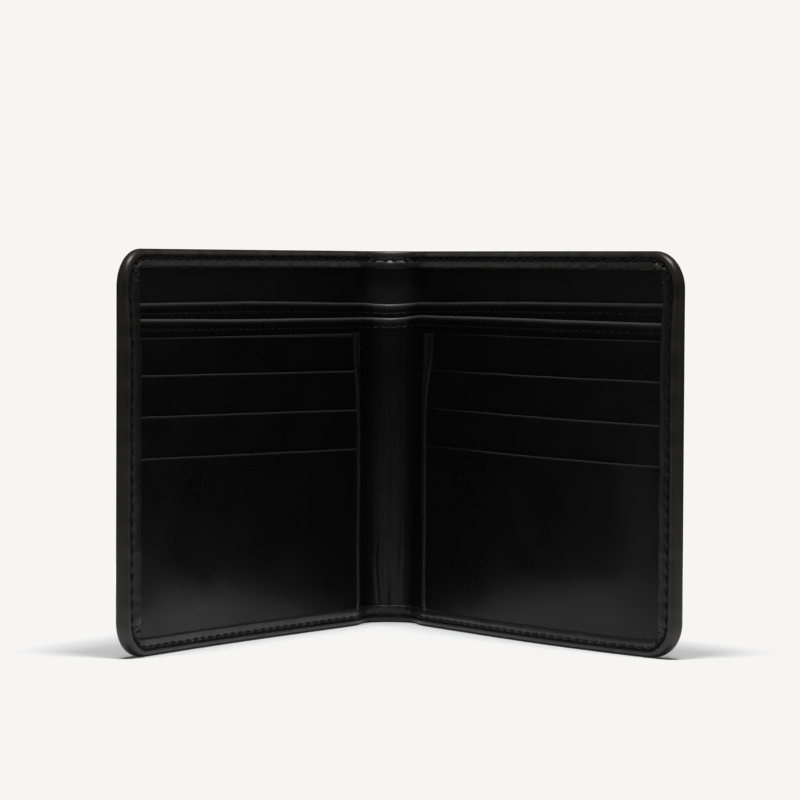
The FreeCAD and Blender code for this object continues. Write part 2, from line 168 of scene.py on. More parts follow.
def folded(flat, mirror):
    """Flat points (across, inwards, up) in mm to places at rest, in metres."""
    across, inwards, up = np.asarray(flat, float).T
    start = np.array(BEND_START)[:2] / MM
    along = np.array(BEND_END)[:2] / MM - start
    low, high = np.zeros(len(across)), np.ones(len(across))
    for _ in range(HALVINGS):
        share = (low + high) / 2
        x, y = turned(across, inwards, share)
        wanted = smooth(((x - start[0]) * along[0] + (y - start[1]) * along[1]) / (along @ along))
        low, high = np.where(wanted > share, share, low), np.where(wanted > share, high, share)
    x, y = turned(across, inwards, high)
    return np.column_stack([mirror * x, y, up]) * MM


wing_end = folded([[WIDE, 0.0, 0.0]], 1)[0] / MM
print(f"a wing's outer end stands at x {wing_end[0]:.1f} mm, y {wing_end[1]:.1f} mm")

# %% [markdown]
# ## Meshes from grids
# A sheet of leather is a grid of points, so most pieces are one or two grids joined along their
# edges. A modifier could round them too, but numpy keeps every row where the shape needs it:
# close together at a rolled edge, and far apart on a plain stretch.

# %% Grids and waves
SIDES = {"right": 1, "left": -1}


def quads(index, flip=False):
    """Faces between neighbouring rows and columns of a grid of vertex numbers."""
    corners = np.stack([index[:-1, :-1], index[1:, :-1], index[1:, 1:], index[:-1, 1:]], -1).reshape(-1, 4)
    return corners[:, ::-1] if flip else corners


def ripple(across, up, size, seed, waves=8):
    """Gentle waves of about that length in mm, mostly within -1 to 1, the same on every run."""
    chance = np.random.default_rng(seed)
    total = np.zeros(np.broadcast(across, up).shape)
    for _ in range(waves):
        turn, phase = chance.uniform(0, math.tau, 2)
        rate = math.tau / (size * chance.uniform(0.7, 1.6))
        total = total + np.sin(rate * (across * math.cos(turn) + up * math.sin(turn)) + phase)
    return total / 4.5


heights = np.arange(0, HEIGHT, 1.0)
print("a ripple up the spine spans", round(float(np.ptp(ripple(0 * heights, heights, 22, seed=5))), 2))

# %% [markdown]
# Every piece goes the same way into the scene. Each sheet that runs over the spine is made as two
# halves, and each half is folded round from the spine into its own wing.

# %% Pieces
def piece(name, places, faces, finish, wear_and_highlight=None):
    """A smooth-shaded mesh in metres. worn marks the edges tinted paler, from 0 to 1: partly wear, partly
    painted highlight.
    """
    mesh = bpy.data.meshes.new(name)
    mesh.from_pydata(places.tolist(), [], faces.tolist() if isinstance(faces, np.ndarray) else faces)
    mesh.polygons.foreach_set("use_smooth", [True] * len(mesh.polygons))
    if wear_and_highlight is not None:
        wear_and_highlight_tint = mesh.attributes.new("wear_and_highlight", "FLOAT", "POINT")
        wear_and_highlight_tint.data.foreach_set("value", np.asarray(wear_and_highlight, np.float32))
    mesh.materials.append(finish)
    mesh.validate()
    mesh.update()
    made = bpy.data.objects.new(name, mesh)
    bpy.context.scene.collection.objects.link(made)
    return made


def bend_at_spine(made):
    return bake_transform(made)


print("a half bends over", round((BEND_END - BEND_START).length / MM, 1), "mm")

# %% [markdown]
# ## Finishes
# One function adds a node with its settings and links, and another turns a colour picker's hex
# value into the linear numbers that a shader works in.

# %% Node and colour helpers
def linear(colour, times=1.0):
    """An sRGB hex value as linear red, green, blue and alpha, made that many times as bright."""
    parts = [int(colour[index:index + 2], 16) / 255 for index in (1, 3, 5)]
    light = [part / 12.92 if part <= 0.04045 else ((part + 0.055) / 1.055) ** 2.4 for part in parts]
    return [value * times for value in light] + [1]


def add(tree, kind, links=None, values=None, **settings):
    """Adds a node. settings are its properties or inputs. values set inputs by name or number,
    and links joins them to other nodes."""
    made = tree.nodes.new(kind)
    for name, value in settings.items():
        if hasattr(made, name):
            setattr(made, name, value)
        else:
            made.inputs[name.replace("_", " ")].default_value = value
    for key, value in (values or {}).items():
        made.inputs[key].default_value = value
    for key, source in (links or {}).items():
        tree.links.new(source, made.inputs[key])
    return made


def new_finish(name):
    finish = bpy.data.materials.new(name)
    finish.use_nodes = True
    finish.node_tree.nodes.clear()
    return finish, finish.node_tree


MIX_A, MIX_B, MIX_RESULT = 6, 7, 2  # the colour sockets of a Mix node
print("middle grey in linear light is", round(linear("#808080")[0], 3))

# %% [markdown]
# ### Smooth black calf leather
# Calf is tanned, dyed through and given a thin acrylic dressing. The eye sees a deep black with a
# soft gloss, a fine pebble, cloudy patches of shine, and edges a little paler, partly from wear
# and partly as painted highlight where they catch the light. The pebble
# is Voronoi cells: real ones are a fifth of a millimetre, too fine to show, so they are drawn two
# to three times as coarse. A dressing's IOR is about 1.5 and its roughness about 0.35. This one is
# thin and dry and mirrors less, so the cover gets an IOR of 1.37 and the pocket leather 1.29.

# %% Leather
FIBRE_MM, CLOUD_MM = 0.22, 14


def calf(name, colour, wear_and_highlight_colour, pebble_mm, rough, depth_mm, index):
    finish, tree = new_finish(name)
    place = add(tree, "ShaderNodeTexCoord").outputs["Object"]
    pebble = add(tree, "ShaderNodeTexVoronoi", {"Vector": place}, feature="SMOOTH_F1",
                 Scale=1 / (pebble_mm * MM), Randomness=0.9)
    fibre = add(tree, "ShaderNodeTexNoise", {"Vector": place}, Scale=1 / (FIBRE_MM * MM), Detail=2.0)
    cloud = add(tree, "ShaderNodeTexNoise", {"Vector": place}, Scale=1 / (CLOUD_MM * MM),
                Detail=4.0, Roughness=0.6).outputs["Fac"]
    # Painted highlight and wear: a mesh attribute mixes a paler colour into the edges, partly as wear and
    # partly standing in for the light that the edges catch.
    wear_and_highlight = add(tree, "ShaderNodeAttribute", attribute_name="wear_and_highlight").outputs["Fac"]
    dyed = add(tree, "ShaderNodeMix", {"Factor": cloud},
               {MIX_A: linear(colour), MIX_B: linear(colour, 1.5)}, data_type="RGBA")
    wear_and_highlight_tint = add(tree, "ShaderNodeMix", {"Factor": wear_and_highlight, MIX_A: dyed.outputs[MIX_RESULT]},
                 {MIX_B: linear(wear_and_highlight_colour)}, data_type="RGBA")
    gloss = add(tree, "ShaderNodeMapRange", {"Value": cloud},
                {"From Min": 0.3, "From Max": 0.7, "To Min": rough - 0.05, "To Max": rough + 0.07})
    grain = add(tree, "ShaderNodeBump", {"Height": pebble.outputs["Distance"]},
                Strength=0.5, Distance=depth_mm * MM)
    skin = add(tree, "ShaderNodeBump", {"Height": fibre.outputs["Fac"], "Normal": grain.outputs["Normal"]},
               Strength=0.35, Distance=depth_mm * 0.5 * MM)
    leather = add(tree, "ShaderNodeBsdfPrincipled",
                  {"Base Color": wear_and_highlight_tint.outputs[MIX_RESULT], "Roughness": gloss.outputs["Result"],
                   "Normal": skin.outputs["Normal"]},
                  IOR=index, Coat_Weight=0.06, Coat_Roughness=0.2)
    add(tree, "ShaderNodeOutputMaterial", {"Surface": leather.outputs["BSDF"]})
    print(f"{name}: pebbles {pebble_mm} mm apart, {depth_mm} mm high")
    return finish


cover_leather = calf("smooth_black_calf_cover", "#0b0b0b", "#302f2e",
                     pebble_mm=0.55, rough=0.36, depth_mm=0.035, index=1.37)
pocket_leather = calf("smooth_black_calf_pockets", "#0c0c0c", "#565656",
                      pebble_mm=0.42, rough=0.30, depth_mm=0.011, index=1.29)

# %% [markdown]
# ### Lining cloth, board and thread
# The lining is a black nylon twill with a faint slanting rib. The board inside is bonded leather
# fibre, streaked where it was rolled. The thread is bonded polyester: plies twisted together, so
# that each stitch carries small slanting gleams. A wave texture draws all three. The ribs of real
# twill are under half a millimetre apart, too fine to show, and are drawn much coarser.

# %% Cloth, board and thread
WAVE_RATE = 20  # a wave texture turns by this many radians for each unit of its scale
BLOTCH_MM = 6


def ribbed(name, colour, rib_mm, slant, rough, depth_mm):
    finish, tree = new_finish(name)
    place = add(tree, "ShaderNodeTexCoord").outputs["Object"]
    lean = add(tree, "ShaderNodeMapping", {"Vector": place}, {"Rotation": (slant, slant / 2, slant)})
    ribs = add(tree, "ShaderNodeTexWave", {"Vector": lean.outputs["Vector"]},
               Scale=math.tau / WAVE_RATE / (rib_mm * MM), Distortion=0.6)
    blotch = add(tree, "ShaderNodeTexNoise", {"Vector": place}, Scale=1 / (BLOTCH_MM * MM), Detail=3.0)
    dyed = add(tree, "ShaderNodeMix", {"Factor": blotch.outputs["Fac"]},
               {MIX_A: linear(colour), MIX_B: linear(colour, 1.6)}, data_type="RGBA")
    relief = add(tree, "ShaderNodeBump", {"Height": ribs.outputs["Fac"]},
                 Strength=0.6, Distance=depth_mm * MM)
    cloth = add(tree, "ShaderNodeBsdfPrincipled",
                {"Base Color": dyed.outputs[MIX_RESULT], "Normal": relief.outputs["Normal"]},
                Roughness=rough, IOR=1.28)
    add(tree, "ShaderNodeOutputMaterial", {"Surface": cloth.outputs["BSDF"]})
    print(f"{name}: ribs {rib_mm} mm apart")
    return finish


lining_cloth = ribbed("black_nylon_twill", "#141414", rib_mm=2.513, slant=0.8, rough=0.55, depth_mm=0.03)
fibre_board = ribbed("bonded_leather_board", "#3b342d", rib_mm=5.027, slant=0.0, rough=0.8, depth_mm=0.05)
thread = ribbed("bonded_polyester_thread", "#0e0e0f", rib_mm=1.131, slant=0.7, rough=0.5, depth_mm=0.05)

# %% [markdown]
# ## How the layers lie
# The whole wing bows a little, as leather does that has been carried, and the spine is rounded
# outwards. The inner panels are longer than the way round the inside of the fold, so they buckle
# into upright wrinkles there. All layers share these shapes, so that none cuts into the next.

# %% Bow and wrinkles
BOW = {"right": 2.6, "left": -1.4}
FLARE = {"right": 0.4, "left": 0.1}
SPINE_ROUND, SPINE_HALF = 1.3, 3.2
BUCKLES = ((1.8, 0.45, 0.13), (3.3, 0.5, 0.10), (5.2, 0.9, 0.12), (7.6, 0.8, 0.08))  # place, width, height
RIDGE_HEIGHT, RIDGE_WIDTH = 0.2, 0.5


def bow(across, side):
    """How far a layer stands inwards. The middle of the wing bows and its outer end flares."""
    run = np.clip((across - FOLD_X - 5) / (WING - 5), 0, 1)
    spine = -SPINE_ROUND * np.exp(-((across / SPINE_HALF) ** 2))
    return BOW[side] * np.sin(np.pi * run ** 1.3) - FLARE[side] * run ** 2 + spine


def wrinkles(across, up, side):
    """A ridge up the middle of the spine, and finer buckles beside it that wander and fade."""
    seed = 3 if side == "right" else 4
    shared = ripple(0 * up, up, 22, seed=5)
    total = RIDGE_HEIGHT * np.exp(-((across / RIDGE_WIDTH) ** 2)) * (1 + shared)
    for order, (place, width, high) in enumerate(BUCKLES):
        drift = 0.5 * ripple(0 * up, up, 17, seed=seed * 10 + order)
        fade = 0.5 + 0.5 * ripple(0 * up, up, 23, seed=seed * 20 + order)
        total = total + high * fade * np.exp(-(((across - place - drift) / width) ** 2))
    return total * smooth((14 - across) / 4)


for side in SIDES:
    print(side, "wing's middle stands in by", round(float(bow(FOLD_X + WING / 2, side)), 2), "mm")

# %% [markdown]
# The hem is cover leather turned over whatever lies below it, so it steps down where the card
# slots, the interior panel and the divider end, and it lies lower on the spine, where there are
# no pockets.

# %% Face of the hem
HEM_RISE_START, HEM_RISE_LENGTH = 6.0, 7.0
HEM_STEP = 0.22


def hem_face(across, up, side):
    """Depth of the turned hem's face, over the layers that lie under it there."""
    on_wing = smooth((across - FOLD_X - HEM_RISE_START) / HEM_RISE_LENGTH)
    over_divider, over_panel, over_slots = (
        smooth((TOP[name] + 0.6 - up) / 1.2) for name in ("bill_divider", "interior_panel", "card_slot_1"))
    at_spine = TOP_HEM + (DIVIDER - LINING) * over_divider + (INTERIOR - DIVIDER) * over_panel
    on_cards = HEM - HEM_STEP * (3 - over_divider - over_panel - over_slots)
    waves = 0.05 * ripple(across, up, 9, seed=21)
    return at_spine + (on_cards - at_spine) * on_wing + bow(across, side) + waves


for up in (0, HEIGHT):
    print(f"hem face at height {up:.0f} mm: {float(hem_face(WIDE / 2, up, 'right')):.2f} mm in")

# %% [markdown]
# ## Outer cover
# One piece of calf covers the outside, and its edge is skived thin and turned onto the inside as
# a hem. It could be a thick sheet with a bevel, but the rolled edge is what the eye reads, so a
# cross-section is swept round the outline: outside face, stitch groove, rounded edge, hem with
# its own groove, cut edge and back underneath. First comes the outline, walked in steps of a
# fifth of a stitch, so that the stitch holes can be dimpled.

# %% Outline of a half, as stations with an inward direction
CORNER = 8.5
PITCH = 3.2
STEP = PITCH / 5
CORNER_STEPS = 18


def stations():
    """Rows of (across, up, inward direction) from the spine's foot round the wing to the spine's top."""
    level = np.arange(0, WIDE - CORNER + 1e-6, STEP)
    level = np.append(level[:-1], WIDE - CORNER)
    quarter = np.linspace(0, math.pi / 2, CORNER_STEPS + 1)[1:]
    upright = np.linspace(CORNER, HEIGHT - CORNER, int((HEIGHT - 2 * CORNER) / STEP) + 1)[1:]
    zero = np.zeros_like
    bottom = np.column_stack([level, zero(level), zero(level), zero(level) + 1])
    turn = np.column_stack([WIDE - CORNER + CORNER * np.sin(quarter), CORNER - CORNER * np.cos(quarter),
                            -np.sin(quarter), np.cos(quarter)])
    end = np.column_stack([zero(upright) + WIDE, upright, zero(upright) - 1, zero(upright)])
    lower = np.vstack([bottom, turn])
    mirrored = lower[::-1] * [1, -1, 1, -1] + [0, HEIGHT, 0, 0]
    return np.vstack([lower, end[:-1], mirrored]), len(lower), len(upright) + 1


RING, LOWER, UPRIGHT = stations()
RUN = np.concatenate([[0], np.cumsum(np.hypot(*np.diff(RING[:, :2], axis=0).T))])
LEVEL = np.abs(RING[:, 3])  # 1 along the top and bottom edges, 0 up the outer end
AT_TOP = RING[:, 3] < 0
print(f"half the perimeter is {RUN[-1]:.1f} mm, in {len(RING)} stations")

# %% [markdown]
# Moved inwards, the round outline has to become a square corner, because that is how the turned
# hem is cut and mitred. The seam pulls a groove that is deeper at each stitch hole, and the
# corners, where there is too much leather, are gathered into small pleats.

# %% Insets, groove and pleats
HEM_WIDE, EDGE_GAP, SEAM_IN = 4.4, 1.1, 2.2
END_HEM = {"left": 0.9, "right": -0.1}  # how much wider the hem is up the outer end
GROOVE_HALF = 0.58


def at_inset(inset, side):
    """Places moved inwards from the outline by that much."""
    square = 1 / np.maximum(np.abs(RING[:, 2]), np.abs(RING[:, 3])) - 1
    wide = END_HEM[side] * smooth((np.abs(RING[:, 2]) - 0.5) * 2) * smooth((inset - 2.6) / 1.8)
    reach = inset + wide - (CORNER - inset) * square * smooth((inset - 2.3) / 1.9)
    return RING[:, 0] + reach * RING[:, 2], RING[:, 1] + reach * RING[:, 3]


def groove(inset, deep):
    pull = 0.75 + 0.25 * np.cos(math.tau * RUN / PITCH)
    return deep * pull * np.exp(-(((inset - SEAM_IN) / GROOVE_HALF) ** 2))


def pleats(inset):
    """Small gathers that fan out round the two corners."""
    turned_share = np.minimum(np.abs(RING[:, 2]), LEVEL) * 2 ** 0.5
    angle = np.arctan2(np.abs(RING[:, 2]), LEVEL)
    fan = np.sin(angle * 26) * smooth(turned_share * 1.6)
    return 0.2 * fan * smooth((inset - 1.2) / 1.0)


for side in SIDES:
    inner_edge = float(at_inset(HEM_WIDE, side)[0][LOWER + UPRIGHT // 2])
    print(side, "wing's end hem is", round(WIDE - inner_edge, 2), "mm wide")

# %% [markdown]
# The cross-section starts outside with the groove of the outer seam, and goes round the edge in a
# squarish half ellipse. A true half circle looks like a cord, while folded leather keeps a flat
# back. Along the top the edge is rolled over further.

# %% Outside face and rounded edge
ROLL = 1.2 + 0.6 * LEVEL * AT_TOP
SQUARISH = 0.72 + 0.13 * LEVEL


def outside_rows(side):
    """Rows of (across, depth, up, worn) for all stations, from the flat middle to the edge."""
    rows = []
    for inset in (3.2, 2.75, 2.45, 2.2, 1.95, 1.65, 1.3):
        room = 0.55 * LEVEL * AT_TOP * smooth((2.6 - inset) / 1.3)
        x, z = at_inset(inset + room, side)
        rows.append((x, -COVER + groove(inset, 0.22) + bow(x, side), z, 0 * RUN))
    return rows


def edge_rows(side):
    x, z = at_inset(ROLL, side)
    face = hem_face(x, z, side)
    middle = (face - COVER + bow(x, side)) / 2
    half = face - middle
    rows = []
    for angle in np.radians(np.linspace(-82, 82, 17)):
        x, z = at_inset(ROLL * (1 - abs(math.cos(angle)) ** SQUARISH), side)
        depth = middle + half * math.copysign(1, angle) * abs(math.sin(angle)) ** SQUARISH
        # Painted highlight and wear: the rolled edge is tinted paler in patches, partly as wear and partly
        # for the light that the roll catches.
        patchy = smooth(ripple(RUN, RUN, 7, seed=31) * 0.5 + 0.4)
        rows.append((x, depth, z, 0.35 + 0.65 * patchy * (0.4 + 0.6 * abs(math.sin(angle)))))
    return rows


thick = hem_face(RING[:, 0], RING[:, 1], "right") - bow(RING[:, 0], "right") + COVER
print(f"the edge is {thick.min():.2f} to {thick.max():.2f} mm thick")

# %% [markdown]
# On the inside the turned leather is puffed up beyond its seam, pulled down along it, and its cut
# edge is rounded. It stands off most along the top, and is pressed flattest along the bottom,
# where the wallet stands. Under it the cross-section runs back to the cover.

# %% Turned hem and its underside
TOP_PUFF, HEM_PUFF = 0.5, 0.42
BOTTOM_PUFF = {"left": -0.26, "right": -0.62}
CUT_RADIUS = 0.34
HEM_INSETS = (1.35, 1.6, 1.85, 2.05, 2.2, 2.4, 2.6, 2.85, 3.15, 3.5, 3.8, 4.05, 4.22, 4.34, HEM_WIDE)
UNDER_INSETS = (HEM_WIDE, HEM_WIDE - 0.15, 3.0, EDGE_GAP + 0.1, EDGE_GAP - 0.1)


def hem_rows(side):
    puffed = HEM_PUFF + LEVEL * np.where(AT_TOP, TOP_PUFF, BOTTOM_PUFF[side])
    puffed = puffed * (1 + 0.25 * ripple(RUN, RUN, 5, seed=43)) * (1 - 0.5 * np.exp(-((RING[:, 0] / 8) ** 2)))
    rows = []
    for inset in HEM_INSETS:
        inwards = ROLL + (inset - 1.2) * (HEM_WIDE - ROLL) / (HEM_WIDE - 1.2)
        x, z = at_inset(inwards + 0.12 * ripple(RUN, RUN, 6, seed=41) * smooth((inset - 3.5) / 0.9), side)
        puff = puffed * np.clip((inwards - 2.3) / 1.7, 0, 1)
        past = max(0, (inset - HEM_WIDE + CUT_RADIUS) / CUT_RADIUS)
        rounding = CUT_RADIUS * (1 - math.sqrt(1 - past ** 2 + 1e-9))
        gather = 0.16 * ripple(RUN, RUN, 2.4, seed=47) * np.exp(-((x / 6) ** 2)) * smooth((inset - 1.4) / 0.8)
        depth = hem_face(x, z, side) - groove(inwards, 0.38) + puff + gather + pleats(inset) - rounding
        # Painted highlight and wear: the hem is tinted a little paler, its cut edge more, partly as wear and
        # partly as painted highlight.
        rows.append((x, depth, z, 0 * RUN + (0.5 if inset > 4.2 else 0.15)))
    return rows


def under_rows(side):
    rows = []
    for order, inset in enumerate(UNDER_INSETS):
        x, z = at_inset(inset, side)
        depth = hem_face(x, z, side) - HEM_THICK * (0.75 if order == 0 else 1)
        if order == len(UNDER_INSETS) - 1:
            depth = COVER + bow(x, side)
        rows.append((x, depth, z, 0 * RUN))
    return rows


print("the hem's face has", len(HEM_INSETS), "rows and its underside", len(UNDER_INSETS))

# %% [markdown]
# Two flat grids fill the middle of the cover, outside and inside. Their columns run from a
# station of the bottom edge up to the one above it, so that they fit the swept grid point by
# point, and leather that looks flat still waves by a tenth of a millimetre.

# %% Flat middle of the cover
def plate(depth, inset, side):
    """The flat middle of the cover: upright columns between the lower and the upper outline."""
    x, z = at_inset(inset, side)
    columns = x[:LOWER]
    low, high = z[:LOWER], z[::-1][:LOWER]
    up = low + (high - low) * np.linspace(0, 1, UPRIGHT)[:, None]
    across = np.broadcast_to(columns, up.shape)
    waves = 0.10 * ripple(across, up, 30, seed=5) * smooth((up - low) / 6) * smooth((high - up) / 6)
    return across, depth + bow(across, side) + waves * smooth((columns[-1] - across) / 6), up


print("the flat middle is a grid of", UPRIGHT, "by", LOWER, "points")

# %% [markdown]
# The swept rows and the two flat grids share their border points, so the cover is one closed
# skin, open only where its two halves meet on the spine. The left half is a mirror image, so its
# faces are turned round to point outwards too.

# %% Build the cover
def build_cover(side):
    section = np.array(outside_rows(side) + edge_rows(side) + hem_rows(side) + under_rows(side))
    rows, count = section.shape[0], section.shape[2]
    flat = section[:, :3].transpose(0, 2, 1).reshape(-1, 3)
    wear_and_highlight = section[:, 3].reshape(-1)
    ring = np.arange(rows * count).reshape(rows, count)
    faces = [quads(ring, flip=True)]
    for row, depth, inset, flip in ((0, -COVER, 3.2, False), (rows - 1, COVER, UNDER_INSETS[-1], True)):
        across, inwards, up = plate(depth, inset, side)
        index = np.full(up.shape, -1)
        index[0, :] = ring[row, :LOWER]
        index[:, -1] = ring[row, LOWER - 1:LOWER - 1 + UPRIGHT]
        index[-1, :] = ring[row, ::-1][:LOWER]
        fresh = index < 0
        index[fresh] = len(flat) + np.arange(fresh.sum())
        flat = np.vstack([flat, np.column_stack([across[fresh], inwards[fresh], up[fresh]])])
        wear_and_highlight = np.concatenate([wear_and_highlight, np.zeros(fresh.sum())])
        faces.append(quads(index, flip=flip))
    faces = np.vstack(faces)
    if side == "left":
        faces = faces[:, ::-1]
    made = piece(f"cover_{side}", folded(flat, SIDES[side]), faces, cover_leather, wear_and_highlight)
    bend_at_spine(made)
    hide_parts(f"outer_cover_{side}", "spine_cover")
    print(f"{made.name}: {len(flat)} points")


for side in SIDES:
    build_cover(side)

# %% [markdown]
# ## Sheets inside
# The lining, the divider, the interior panel and the pockets are all thin sheets with a soft
# edge. One function makes such a sheet: a front and a back grid that share their border, with
# rows crowded at the edges so that they round off. A half sheet stays open at the middle of the
# spine, where it meets its other half.

# %% Rows and columns of a sheet
RIM = np.array([0, 0.08, 0.25, 0.55, 1.0])
BEND_COLUMNS_END, BEND_COLUMNS = 14, 41


def spread(start, end, pitch, soft, ends=(True, True)):
    """Values from start to end, close together near the soft ends."""
    low = start + soft * RIM if ends[0] else np.array([start])
    high = end - soft * RIM[::-1] if ends[1] else np.array([end])
    count = max(2, int((high[0] - low[-1]) / pitch))
    return np.concatenate([low, np.linspace(low[-1], high[0], count + 1)[1:-1], high])


def sheet_rows(low, high, soft, pitch, extra_rows):
    """Heights of the rows in each column. extra_rows are more rows at those drops from the top."""
    share = spread(0, 1, pitch / float((high - low).max()), 0.0, (False, False))
    rim = soft * RIM
    drops = np.unique(np.concatenate([rim, np.asarray(extra_rows, float)]))[::-1]
    inner_low, inner_high = low + rim[-1], high - drops[0]
    return np.vstack([low + rim[:-1, None], inner_low + (inner_high - inner_low) * share[:, None],
                      high - drops[1:, None]])


def half_columns(pitch, soft=0.3):
    """Columns of a half sheet from the middle of the spine, close together over the fold."""
    near = np.linspace(0, BEND_COLUMNS_END, BEND_COLUMNS)
    return np.concatenate([near, spread(BEND_COLUMNS_END, OUT, pitch, soft, (False, True))[1:]])


OUT = WIDE - EDGE_GAP
ROUND = CORNER - EDGE_GAP
print("a half sheet has", len(half_columns(2.0)), "columns at 2 mm apart")

# %% [markdown]
# Where the gap to the nearest edge is less than `soft`, the two faces draw together in a quarter
# circle. `radius` rounds the outer corners, and `shift` moves the free edge sideways by height.
# The pale tint, `wear_and_highlight_strength`, follows the same gap, so that an edge is tinted pale just
# where it is round:
# partly as wear, and partly as painted highlight where a round edge catches the light.

# %% A sheet with rounded edges
def sheet(name, finish, side, columns, low, high, depth, thick, soft=0.3, pitch=2.0, radius=0.0,
          both_corners=False, open_start=False, shift=None, extra_rows=(), wear_and_highlight_strength=1.0):
    """A sheet whose front lies at depth(across, up), with a lower and an upper edge in each column."""
    low, high = low + 0 * columns, high + 0 * columns
    far = columns[-1] - columns
    if radius:
        cut = radius - np.sqrt(np.maximum(0, radius ** 2 - np.maximum(0, radius - far) ** 2))
        low, high = low + cut, high - (cut if both_corners else 0)
    up = sheet_rows(low, high, soft, pitch, extra_rows)
    across = np.broadcast_to(columns, up.shape)
    gap = np.minimum(np.minimum(up - low, high - up), far)
    if not open_start:
        gap = np.minimum(gap, columns - columns[0])
    round_off = np.sqrt(1 - (1 - np.clip(gap / soft, 0, 1)) ** 2)
    face = depth(across, up)
    front = face - thick / 2 * (1 - round_off)
    back = face - thick + thick / 2 * (1 - round_off)
    if shift is not None:
        across = across + shift(up) * smooth((OUT - across) / 30)
    front_index = np.arange(up.size).reshape(up.shape)
    back_index = front_index.copy()
    fresh = gap >= 1e-9
    back_index[fresh] = up.size + np.arange(fresh.sum())
    flat = np.vstack([np.column_stack([across.ravel(), front.ravel(), up.ravel()]),
                      np.column_stack([across[fresh], back[fresh], up[fresh]])])
    # Painted highlight and wear: the sheet is tinted paler where its edges round off, partly as wear and
    # partly for the light that a round edge catches.
    wear_and_highlight_tint = wear_and_highlight_strength * np.exp(-((gap / (soft * 1.3)) ** 2))
    wear_and_highlight = np.concatenate([wear_and_highlight_tint.ravel(), wear_and_highlight_tint[fresh]])
    faces = np.vstack([quads(front_index, flip=True), quads(back_index)])
    if side == "left":
        faces = faces[:, ::-1]
    made = piece(name, folded(flat, SIDES[side]), faces, finish, wear_and_highlight)
    print(f"{name}: {len(flat)} points")
    return made


# %% [markdown]
# ### Lining and board
# The lining is glued to the board and the board to the cover, so both follow the bow, and only
# the lining shows, above the divider. It waves a little, and buckles less than the free panels.

# %% Lining and board
def lining_face(across, up, side):
    waves = 0.07 * ripple(across, up, 18, seed=51 + SIDES[side])
    return LINING + bow(across, side) + 0.35 * wrinkles(across, up, side) + np.minimum(0, waves)


for side in SIDES:
    lining = sheet(f"lining_{side}", lining_cloth, side, half_columns(1.6), EDGE_GAP, HEIGHT - EDGE_GAP,
                   lambda across, up: lining_face(across, up, side), thick=0.18,
                   radius=ROUND, both_corners=True, open_start=True)
    board = sheet(f"board_{side}", fibre_board, side, half_columns(4), EDGE_GAP, HEIGHT - EDGE_GAP,
                  lambda across, up: BOARD - 0.05 + bow(across, side), thick=0.2, pitch=6,
                  radius=ROUND, both_corners=True, open_start=True)
    bend_at_spine(lining)
    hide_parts(f"bill_lining_{side}", "spine_lining")
    bend_at_spine(board)
    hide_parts(f"cover_stiffener_{side}", "spine_stiffener")

# %% [markdown]
# ### Divider and interior panel
# Both run over the whole width and have a turned top hem held by a row of small stitches. The
# roll of that hem is what catches the light as a thin bright line, and the row of stitches pulls
# dimples into it. The top edges are never quite level: they lean a little, sag by a fraction
# between their ends, and dip over the spine.

# %% Top edges of the two panels
HEM_PITCH = 2.6
PANEL_SEAM = 2.5
PANEL_LEAN = {  # how much higher the edge is at the fold, in the middle of the wing and at its end
    ("bill_divider", "left"): (-0.5, 0.2, 0.0),
    ("bill_divider", "right"): (-0.3, 0.4, 0.5),
    ("interior_panel", "left"): (-0.45, -0.4, 0.25),
    ("interior_panel", "right"): (0.2, 0.1, -0.35),
}


def panel_top(name, across, side):
    lean = np.interp(across, [FOLD_X + 8, FOLD_X + WING / 2, WIDE], PANEL_LEAN[name, side])
    sag = 0.5 * np.exp(-((across / 6) ** 2))
    middle = (PANEL_LEAN[name, "left"][0] + PANEL_LEAN[name, "right"][0]) / 2
    lean = middle + (lean - middle) * smooth(across / 12)
    return TOP[name] + lean - sag + 0.1 * ripple(across, 0 * across, 30, seed=61) * smooth(across / 12)


for name in PANEL_NAMES:
    print(name, "is", round(float(panel_top(name, np.array(0.0), "right")), 1), "mm high on the spine")

# %% [markdown]
# The face of a panel swells at the roll of its hem and is pulled in at each stitch below it.
# Towards the outer end the cover's hem presses it flat.

# %% Faces of the two panels
def seam_dip(drop, across):
    """The dimpled row of stitches, for points at that drop below the top edge."""
    pull = 0.7 + 0.3 * np.cos(math.tau * across / HEM_PITCH)
    return 0.14 * pull * np.exp(-(((drop - PANEL_SEAM) / 0.38) ** 2))


def panel_face(name, base, folds, across, up, side):
    """Depth of a panel's face: the roll of its hem swells it, and the cover's hem flattens it."""
    drop = panel_top(name, across, side) - up
    roll = 0.20 * np.exp(-(((drop - 0.5) / 0.6) ** 2))
    tucked = smooth((WIDE - HEM_WIDE - across + 0.3) / 2.0)
    waves = 0.05 * ripple(across, up, 16, seed=71)
    swell = (roll + 0.12 * smooth((drop + 0.5) / 3)) * tucked
    shaped = base + bow(across, side) + folds * wrinkles(across, up, side)
    return shaped + swell + waves - seam_dip(drop, across)


print(f"a panel's seam is pulled in by up to {float(seam_dip(PANEL_SEAM, 0.0)):.2f} mm")

# %% [markdown]
# The rows of the grid are crowded where the hem's roll and its seam are. The columns are a
# quarter of a stitch apart, so that every dimple is drawn.

